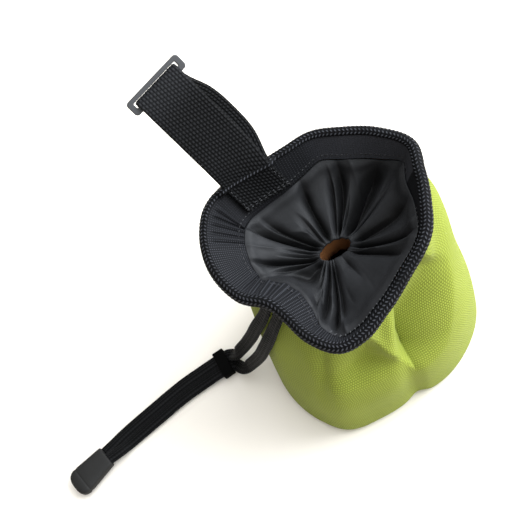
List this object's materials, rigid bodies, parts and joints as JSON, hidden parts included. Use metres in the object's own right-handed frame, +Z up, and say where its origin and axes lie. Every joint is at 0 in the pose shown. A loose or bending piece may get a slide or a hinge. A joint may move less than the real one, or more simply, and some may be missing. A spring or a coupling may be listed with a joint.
{
  "type": "dog treat pouch",
  "caption": "Soft cloth treat pouch that stands on its base, with a webbing rim, a gathered throat, a belt loop strap with a slide, and a flat pull cord.",
  "frame": {"origin": "on the floor under the middle of the base", "axes": "+Z up, +Y towards the wearer, where the strap is; the mouth's straight back edge runs along X"},
  "size_m": [0.2458, 0.1395, 0.1587],
  "materials": {
    "lime_cloth": "coarse woven nylon, lime green",
    "rim_webbing": "black basket weave webbing",
    "lining_satin": "black satin nylon, soft sheen",
    "strap_webbing": "black basket weave webbing",
    "slide_plastic": "matte dark grey",
    "cord_weave": "black flat ribbed cord",
    "cord_plastic": "matte black"
  },
  "bodies": {
    "root": {"base_cup": "lime_cloth", "body_wall": "lime_cloth", "rim_band": "rim_webbing", "throat_lining": "lining_satin", "belt_strap": "strap_webbing", "strap_slide": "slide_plastic", "cord_strand_a": "cord_weave", "cord_strand_b": "cord_weave", "cord_keeper": "cord_plastic", "cord_end": "cord_plastic"}
  },
  "joints": []
}
